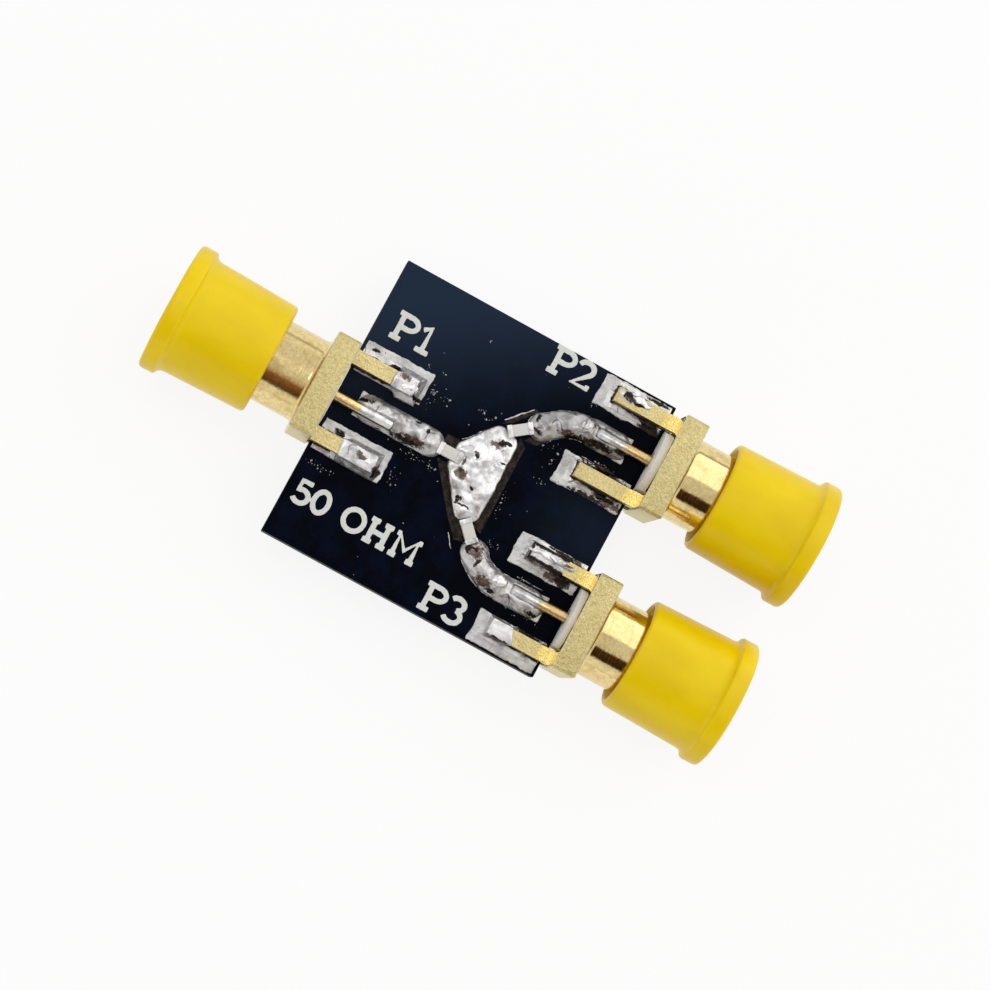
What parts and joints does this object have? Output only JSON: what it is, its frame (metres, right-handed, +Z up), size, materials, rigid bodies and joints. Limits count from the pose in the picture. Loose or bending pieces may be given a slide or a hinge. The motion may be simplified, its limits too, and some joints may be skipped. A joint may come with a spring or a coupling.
{
  "type": "rf power splitter",
  "caption": "Small square circuit board that splits one radio-frequency signal evenly through a star of chip resistors, with edge-launch coaxial jacks and push-on dust caps.",
  "frame": {"origin": "middle of the part's bounding box, on the ground under the caps' rims", "axes": "+X from port 1 to ports 2 and 3, +Y towards port 2, +Z up out of the board's component side"},
  "size_m": [0.042, 0.0194, 0.0084],
  "materials": {
    "board_mask": "glossy near-black solder mask on fibreglass laminate",
    "tinned_copper": "satin hot-tinned copper",
    "solder": "bright, lumpy hand solder with flux spots",
    "chip_ceramic": "matte alumina",
    "gold_plated_brass": "gold plate, polished on turned faces and sandy on milled ones",
    "white_insulator": "waxy white fluoropolymer",
    "yellow_cap": "soft moulded polyethylene, satin"
  },
  "bodies": {
    "splitter": {"board": "board_mask", "junction_pad": "tinned_copper", "junction_solder": "solder", "trace_1": "tinned_copper", "trace_2": "tinned_copper", "trace_3": "tinned_copper", "trace_1_solder": "solder", "trace_2_solder": "solder", "trace_3_solder": "solder", "chip_1": "chip_ceramic", "chip_2": "chip_ceramic", "chip_3": "chip_ceramic", "chip_1_terminals": "tinned_copper", "chip_2_terminals": "tinned_copper", "chip_3_terminals": "tinned_copper", "port_1_ground_pads": "tinned_copper", "port_2_ground_pads": "tinned_copper", "port_3_ground_pads": "tinned_copper", "port_1_leg_solder": "solder", "port_2_leg_solder": "solder", "port_3_leg_solder": "solder", "jack_1_body": "gold_plated_brass", "jack_2_body": "gold_plated_brass", "jack_3_body": "gold_plated_brass", "jack_1_insulator": "white_insulator", "jack_2_insulator": "white_insulator", "jack_3_insulator": "white_insulator", "jack_1_contact": "gold_plated_brass", "jack_2_contact": "gold_plated_brass", "jack_3_contact": "gold_plated_brass"},
    "cap_1": {"dust_cap_1": "yellow_cap"},
    "cap_2": {"dust_cap_2": "yellow_cap"},
    "cap_3": {"dust_cap_3": "yellow_cap"}
  },
  "joints": [
    {"name": "cap_1_pull", "type": "slide", "parent": "splitter", "child": "cap_1", "axis": [-1, 0, 0], "range_m": [0, 0.025]},
    {"name": "cap_2_pull", "type": "slide", "parent": "splitter", "child": "cap_2", "axis": [1, 0, 0], "range_m": [0, 0.025]},
    {"name": "cap_3_pull", "type": "slide", "parent": "splitter", "child": "cap_3", "axis": [1, 0, 0], "range_m": [0, 0.025]}
  ]
}
